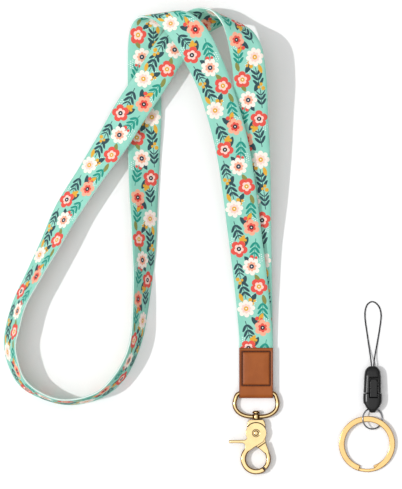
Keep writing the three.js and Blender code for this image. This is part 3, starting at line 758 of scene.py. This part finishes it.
def lay_print(mesh, travel):
    """Maps the print: metres along the ribbon, and 0 to 1 across it, mirrored on the back face."""
    width = len(RIBBON_LANES)
    lanes = RIBBON_LANES + RIBBON_LANES[::-1]
    layer = mesh.uv_layers.new(name="ribbon")
    for polygon in mesh.polygons:
        corners = [divmod(mesh.loops[loop].vertex_index, 2 * width) for loop in polygon.loop_indices]
        columns = {column for row, column in corners}
        is_end = len(corners) != 4
        is_side = columns in ({width - 1, width}, {0, 2 * width - 1})
        polygon.material_index = 1 if is_end or is_side else 0
        on_back = min(columns) >= width
        for loop, (row, column) in zip(polygon.loop_indices, corners):
            run, lean = travel[row]
            along = run + lean * lanes[column]
            if on_back:
                layer.data[loop].uv = ((along + BACK_PRINT_START) * MM, 0.5 - lanes[column] / 2)
            else:
                layer.data[loop].uv = ((along + FRONT_PRINT_START) * MM, 0.5 + lanes[column] / 2)


def build_ribbon(print_material, selvedge):
    rows = ribbon_rows()
    points, travel, length = ribbon_skin(rows)
    faces = loft_faces(len(rows), 2 * len(RIBBON_LANES))
    ribbon = mesh_object("ribbon", points, faces, [print_material, selvedge])
    lay_print(ribbon.data, travel)
    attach(ribbon, "strap")
    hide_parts(*[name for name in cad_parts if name.startswith("strap_")])
    length * MM


# ---- Leather cuff and stitching -------------------------------------------------------------

def leather_material():
    material, shader = new_material("tan_leather")
    nodes, links = material.node_tree.nodes, material.node_tree.links
    tan = blend_colours(linear(144, 72, 22), linear(168, 90, 32), noise(120, 4) * 1.5 - 0.25)
    # Darker at the worn cut edges, and with painted shade along the seam groove.
    paint(shader, blend_colours(tan, linear(96, 44, 20), attribute("wear_and_seam_shade")))
    grain = nodes.new("ShaderNodeTexVoronoi")
    grain.inputs["Scale"].default_value = 1900
    links.new(nodes.new("ShaderNodeTexCoord").outputs["Object"], grain.inputs["Vector"])
    creases = Num(grain.outputs["Distance"]) + noise(700, 3) * 0.6
    bump(shader, creases, 0.12, 0.35)
    shader.inputs["Roughness"].default_value = 0.46
    shader.inputs["Specular IOR Level"].default_value = 0.3
    return material


def stitch_distance(x, y):
    """How far a point of the cuff's face is from the stitched rectangle, negative inside it."""
    middle = (STITCH_LOW + STITCH_HIGH) / 2
    dx = abs(x) - STITCH_HALF_WIDTH
    dy = abs(y - middle) - (STITCH_HIGH - STITCH_LOW) / 2
    if dx > 0 or dy > 0:
        return math.hypot(max(dx, 0), max(dy, 0))
    return max(dx, dy)


def fold_arc(radius, start, sweep, steps):
    """The half circle in which the strip goes round the bar."""
    angles = [start + sweep * i / steps for i in range(steps + 1)]
    return [(BAR_Y + radius * math.cos(angle), MID_Z + radius * math.sin(angle), 0) for angle in angles]


def cuff_profile():
    """The strip's section in Y and Z: the outside from the front flap round the bar to the back flap,
    then the inside back again. Each entry is (y, z, side), side 1 on the front face, -1 on the back."""
    fine, coarse = 0.35, 2.0
    ease = 0.3
    span = np.arange(CUFF_TOP - ease, BAR_Y, -fine)
    rows = [(CUFF_TOP, CUFF_THICK - LEATHER + ease, 0), (CUFF_TOP, CUFF_THICK - ease, 0)]
    rows += [(y, CUFF_THICK, 1) for y in span]
    rows += fold_arc(MID_Z, math.pi / 2, math.pi, 20)
    rows += [(y, 0, -1) for y in span[::-1]]
    rows += [(CUFF_TOP, ease, 0), (CUFF_TOP, LEATHER - ease, 0)]
    rows += [(y, LEATHER, 0) for y in np.arange(CUFF_TOP - ease, BAR_Y, -coarse)]
    rows += fold_arc(MID_Z - LEATHER, -math.pi / 2, -math.pi, 12)
    rows += [(y, CUFF_THICK - LEATHER, 0) for y in np.arange(BAR_Y + coarse, CUFF_TOP - ease, coarse)]
    return rows


def stitch_relief(x, y, side):
    """How the seam lifts or sinks the leather at a point of its face, and how much painted shade falls in its
    groove.
    The leather is drawn in along the seam, and on the front it swells inside it."""
    away = stitch_distance(x, y)
    lift = -GROOVE_DEPTH * math.exp(-((away / GROOVE_SPREAD) ** 2))
    if side > 0 and away < 0:
        lift += PUFF_HEIGHT * min(1.0, max(0.0, -away - PUFF_START) / PUFF_SPREAD) ** PUFF_ROUNDNESS
    return lift, SEAM_DARKNESS * math.exp(-((away / SEAM_SHADE_SPREAD) ** 2))


def edge_wear(x, y):
    """How dark the cut edges are, at the sides and at the mouth of the cuff."""
    at_side = math.exp(-((CUFF_WIDTH / 2 - abs(x)) / SIDE_WEAR_SPREAD))
    at_mouth = math.exp(-max(0.0, CUFF_TOP - y) / MOUTH_WEAR_SPREAD)
    return EDGE_DARKNESS * max(at_side, at_mouth)


def build_cuff(material):
    profile = cuff_profile()
    half = CUFF_WIDTH / 2
    inset = [0, 0.06, 0.2, 0.45]
    drops = [0.34, 0.16, 0.05]
    first_inner, spacing = 0.9, 0.42
    columns = [half - d for d in inset] + list(np.arange(half - first_inner, first_inner - half, -spacing))
    columns += [-half + d for d in inset[::-1]]
    points, wear_and_seam_shade = [], []
    for number, x in enumerate(columns):
        from_edge = min(number, len(columns) - 1 - number)
        drop = drops[from_edge] if from_edge < len(drops) else 0
        for y, z, side in profile:
            lift, seam_shade = 0.0, 0.0
            if side:
                lift, seam_shade = stitch_relief(x, y, side)
                lift -= drop
            points.append((x, y, max(z + lift * side, 0.0)))
            # The darker of the painted shade along the seam and the worn cut edges.
            wear_and_seam_shade.append(max(seam_shade, edge_wear(x, y)))
    faces = [tuple(reversed(face)) for face in loft_faces(len(columns), len(profile))]
    cuff = mesh_object("leather_cuff_skin", points, faces, [material])
    layer = cuff.data.attributes.new("wear_and_seam_shade", "FLOAT", "POINT")
    layer.data.foreach_set("value", wear_and_seam_shade)
    fix_normals(cuff)
    replace(cuff, "strap", "leather", "leather_cuff")


def fix_normals(thing):
    mesh = bmesh.new()
    mesh.from_mesh(thing.data)
    bmesh.ops.recalc_face_normals(mesh, faces=mesh.faces)
    mesh.to_mesh(thing.data)
    mesh.free()


def thread_material():
    material, shader = new_material("sewing_thread")
    twist = noise(2600, 2)
    paint(shader, blend_colours(linear(58, 22, 6), linear(98, 44, 16), twist))
    bump(shader, twist, 0.1, 0.5)
    shader.inputs["Roughness"].default_value = 0.65
    return material


def build_stitches(name, z, material, node):
    """Single stitches round the rectangle, each a short thread that dips in at both ends."""
    corners = [
        (-STITCH_HALF_WIDTH, STITCH_LOW), (STITCH_HALF_WIDTH, STITCH_LOW),
        (STITCH_HALF_WIDTH, STITCH_HIGH), (-STITCH_HALF_WIDTH, STITCH_HIGH),
    ]
    steps = 6
    points, faces = [], []
    outward = 1 if z > MID_Z else -1
    for (x0, y0), (x1, y1) in zip(corners, corners[1:] + corners[:1]):
        length = math.hypot(x1 - x0, y1 - y0)
        count = round(length / STITCH_LENGTH)
        for i in range(count):
            path = []
            for k in range(steps + 1):
                share = (i + 0.5 + STITCH_FILL * (k / steps - 0.5)) / count
                dip = STITCH_DIP * (2 * abs(k / steps - 0.5)) ** 3
                path.append((x0 + (x1 - x0) * share, y0 + (y1 - y0) * share, z - outward * dip))
            start = len(points)
            points += tube_rings(path, THREAD_RADIUS, THREAD_SIDES)
            faces += [tuple(start + v for v in face) for face in loft_faces(len(path), THREAD_SIDES)]
    stitches = mesh_object(name, points, faces, [material])
    fix_normals(stitches)
    replace(stitches, "strap", "thread", node)


# ---- Metal ----------------------------------------------------------------------------------

def metal_material(name, colour, dark, roughness):
    """Plated metal: faintly uneven, with a painted dark reflection and shade along its edges."""
    material, shader = new_material(name)
    cloudy = blend_colours(colour, dark, noise(260, 3) * 0.3)
    # The dark tone is mixed in a little at random, and fully where the edge attribute paints the dark
    # reflection and shade.
    paint(shader, blend_colours(cloudy, dark, attribute("edge")))
    spread = 0.12
    roughen(shader, noise(1500, 2) * spread + (roughness - spread / 2))
    bump(shader, noise(420, 2), 0.05, 0.12)
    shader.inputs["Metallic"].default_value = 1
    return material


def build_d_ring(material):
    """A bent wire, with a bored boss on the middle of its bow for the swivel pin."""
    right = [(x, y, MID_Z) for x, y in D_SIDE]
    left = [(-x, y, z) for x, y, z in reversed(right)]
    stops = [(-5, BAR_Y, MID_Z), (0, BAR_Y, MID_Z), (5, BAR_Y, MID_Z)] + right
    stops += [(0, D_BOTTOM_Y, MID_Z)] + left
    path = smooth_path(stops, 8, closed=True)
    ring = tube("d_ring_wire", path, D_WIRE / 2, 28, material, closed=True)
    fix_normals(ring)
    replace(ring, "d_ring", "gold_metal", "d_ring")
    high, low = D_BOTTOM_Y + BOSS_LENGTH / 2, D_BOTTOM_Y - BOSS_LENGTH / 2
    bore = PIN_RADIUS + BOSS_BORE_GAP
    profile = [
        (bore, high), (BOSS_RADIUS - BOSS_EASE, high), (BOSS_RADIUS - 0.1, high - 0.12),
        (BOSS_RADIUS, high - BOSS_EASE), (BOSS_RADIUS, low + BOSS_EASE), (BOSS_RADIUS - 0.1, low + 0.12),
        (BOSS_RADIUS - BOSS_EASE, low), (bore, low), (bore, high),
    ]
    boss = lathe_y("d_ring_boss", profile, 40, material, (0, MID_Z))
    weld(boss)
    replace(boss, "d_ring", "gold_metal", "d_ring")


def weld(thing):
    """Joins points that lie together and drops the caps between them, so a turned tube is one skin."""
    mesh = bmesh.new()
    mesh.from_mesh(thing.data)
    caps = [face for face in mesh.faces if len(face.verts) > 8]
    bmesh.ops.delete(mesh, geom=caps, context="FACES")
    bmesh.ops.remove_doubles(mesh, verts=mesh.verts, dist=1e-6)
    bmesh.ops.recalc_face_normals(mesh, faces=mesh.faces)
    mesh.to_mesh(thing.data)
    mesh.free()


def build_swivel_pin(material):
    foot = D_BOTTOM_Y + BOSS_LENGTH / 2 + PIN_HEAD_GAP
    top = foot + PIN_HEAD_LENGTH
    profile = [
        (0.01, PIN_ROOT_Y), (PIN_RADIUS, PIN_ROOT_Y), (PIN_RADIUS, foot - 0.01),
        (PIN_HEAD_RADIUS - 0.2, foot), (PIN_HEAD_RADIUS, foot + 0.2), (PIN_HEAD_RADIUS, foot + 0.9),
        (PIN_HEAD_RADIUS * 0.94, foot + 1.2), (PIN_HEAD_RADIUS * 0.75, top - 0.22),
        (PIN_HEAD_RADIUS * 0.4, top - 0.05), (0.01, top),
    ]
    pin = lathe_y("swivel_pin_turned", profile, 40, material, (0, MID_Z))
    fix_normals(pin)
    replace(pin, "hook", "gold_metal", "swivel_pin")


def build_rivet(material):
    foot, top = HOOK_HALF_THICK - RIVET_PROUD, HOOK_HALF_THICK + RIVET_PROUD
    half = [
        (RIVET_RADIUS, foot), (RIVET_HEAD_RADIUS - 0.1, foot), (RIVET_HEAD_RADIUS, foot + 0.12),
        (RIVET_HEAD_RADIUS * 0.92, foot + 0.36), (RIVET_HEAD_RADIUS * 0.7, top - 0.16),
        (RIVET_HEAD_RADIUS * 0.4, top - 0.04), (0.01, top),
    ]
    profile = [(r, -z) for r, z in reversed(half)] + half
    points = []
    sides = 36
    for radius, z in profile:
        for j in range(sides):
            angle = TAU * j / sides
            points.append((radius * math.cos(angle), RIVET_Y + radius * math.sin(angle), MID_Z + z))
    rivet = mesh_object("pivot_rivet_turned", points, loft_faces(len(profile), sides), [material])
    fix_normals(rivet)
    replace(rivet, "hook", "gold_metal", "pivot_rivet")


def build_link_ring(material):
    """A ring of round wire, open by a hair at its joint."""
    steps = 120
    path = []
    for i in range(steps + 1):
        angle = math.pi / 2 + math.pi * LINK_JOINT + TAU * (1 - LINK_JOINT) * i / steps
        x, y = LINK_RADIUS * math.cos(angle), LINK_RADIUS * math.sin(angle)
        path.append((
            PHONE_X + x * math.cos(LINK_ROLL), LINK_TOP_Y - LINK_RADIUS + y,
            LINK_Z - x * math.sin(LINK_ROLL)))
    ring = tube("link_ring_wire", path, LINK_WIRE / 2, 16, material)
    fix_normals(ring)
    replace(ring, "link", "steel", "link_ring")


def build_key_ring(material):
    """A flat strip wound twice, stepping between its layers across a narrow bridge."""
    start = -math.pi / 2 - KEY_BRIDGE / 2
    turn = TAU - KEY_BRIDGE
    pitch = KEY_LAYER + KEY_LAYER_GAP
    steps, bridge_steps = 150, 16
    lean = math.atan2(KEY_RISE, 2 * KEY_OUTER)

    def taper(away):
        return KEY_WIDTH - (KEY_WIDTH - KEY_BRIDGE_WIDTH) * max(0.0, 1 - away / KEY_TAPER_ANGLE)

    sections = []
    for i in range(steps + 1):
        share = i / steps
        sections.append((start - turn * share, pitch, KEY_WIDTH if i == 0 else taper(turn * (1 - share))))
    for i in range(1, bridge_steps):
        share = i / bridge_steps
        level = pitch * (1 - share * share * (3 - 2 * share))
        sections.append((start - turn - KEY_BRIDGE * share, level, KEY_BRIDGE_WIDTH))
    for i in range(steps + 1):
        share = i / steps
        sections.append((start - TAU - turn * share, 0.0, taper(turn * share)))
    points = []
    for angle, level, width in sections:
        inner, outer = KEY_OUTER - width, KEY_OUTER
        low, high = level, level + KEY_LAYER
        outline = [
            (inner + KEY_EASE, low), (inner + KEY_BRIM, low), (outer - KEY_BRIM, low),
            (outer - KEY_EASE, low), (outer, low + KEY_EASE), (outer, high - KEY_EASE),
            (outer - KEY_EASE, high), (outer - KEY_BRIM, high), (inner + KEY_BRIM, high),
            (inner + KEY_EASE, high), (inner, high - KEY_EASE), (inner, low + KEY_EASE),
        ]
        for radius, z in outline:
            x, y = radius * math.cos(angle), radius * math.sin(angle) + KEY_OUTER
            points.append((
                KEY_X + x,
                KEY_Y - KEY_OUTER + y * math.cos(lean) - z * math.sin(lean),
                y * math.sin(lean) + z * math.cos(lean)))
    ring = mesh_object("key_ring_strip", points, loft_faces(len(sections), len(outline)), [material])
    fix_normals(ring)
    replace(ring, "key_ring", "gold_metal", "key_ring")


# ---- Phone loop -----------------------------------------------------------------------------

def plastic_material():
    material, shader = new_material("black_plastic")
    fine = noise(900, 3)
    paint(shader, blend_colours(linear(5, 5, 6), linear(14, 14, 15), fine))
    roughen(shader, noise(240, 2) * 0.14 + 0.2)
    shader.inputs["Specular IOR Level"].default_value = 0.4
    bump(shader, fine, 0.04, 0.2)
    return material


def cord_material():
    material, shader = new_material("braided_cord")
    braid = noise(3200, 1)
    paint(shader, blend_colours(linear(14, 14, 15), linear(46, 46, 48), braid))
    bump(shader, braid, 0.1, 0.6)
    shader.inputs["Roughness"].default_value = 0.7
    return material


def build_cord(material):
    """The closed loop of cord, out of the socket and back, and the knot that holds it there."""
    path = smooth_path([(PHONE_X + x, y, z) for x, y, z in CORD_ROUTE], 4)
    data = bpy.data.curves.new("phone_loop_cord", "CURVE")
    data.dimensions = "3D"
    data.bevel_depth = CORD_DIAMETER / 2 * MM
    data.bevel_resolution = 4
    data.use_fill_caps = True
    spline = data.splines.new("POLY")
    spline.points.add(len(path) - 1)
    for point, place in zip(spline.points, path):
        point.co = (*(place * MM), 1)
    data.materials.append(material)
    cord = bpy.data.objects.new("phone_loop_cord", data)
    scene.collection.objects.link(cord)
    length = sum(np.linalg.norm(b - a) for a, b in zip(path, path[1:])) * MM
    replace(cord, "phone_loop", "cord", "phone_cord")
    knot = cast_copy("phone_loop_knot", "cord_knot", "phone_loop", "cord", material, voxel=0.12, passes=4)
    tuple(path[0] * MM)


# ---- Assembly -------------------------------------------------------------------------------

add_camera()
cord_black = cord_material()
build_cord(cord_black)
add_sun()
add_studio()
add_floor()

build_ribbon(fabric_material(), selvedge_material())

build_cuff(leather_material())
thread = thread_material()
build_stitches("front_stitches", FRONT_STITCH_Z, thread, "front_stitching")
build_stitches("back_stitches", BACK_STITCH_Z, thread, "back_stitching")

# The second colour of each metal is its random darker tone and also its painted dark edge reflection and
# shade.
gold = metal_material("pale_gold", linear(255, 227, 168), linear(114, 70, 18), 0.22)
ring_gold = metal_material("ring_gold", linear(250, 212, 146), linear(148, 98, 34), 0.26)
steel = metal_material("bright_steel", linear(178, 180, 184), linear(84, 86, 92), 0.24)
build_d_ring(gold)
build_swivel_pin(gold)
build_rivet(gold)
for piece, node, body in (("hook_frame_cast", "hook_frame", "hook"), ("hook_jaw_cast", "hook_jaw", "jaw")):
    cast_copy(piece, node, body, "gold_metal", gold, METAL_VOXEL, METAL_PASSES, HOOK_ROUND_Y)
cast_copy("jaw_spring_wire", "jaw_spring", "hook", "steel", steel, voxel=0.08, passes=2)

black = plastic_material()
for piece, node, body in (
    ("buckle_socket_shell", "buckle_socket", "phone_loop"), ("buckle_plug_body", "buckle_plug", "plug"),
):
    cast_copy(piece, node, body, "black_plastic", black, PLASTIC_VOXEL, PLASTIC_PASSES)
cast_copy("buckle_latch_tongue", "buckle_latch", "latch", "black_plastic", black, voxel=0.1, passes=3)
build_link_ring(steel)
build_key_ring(ring_gold)
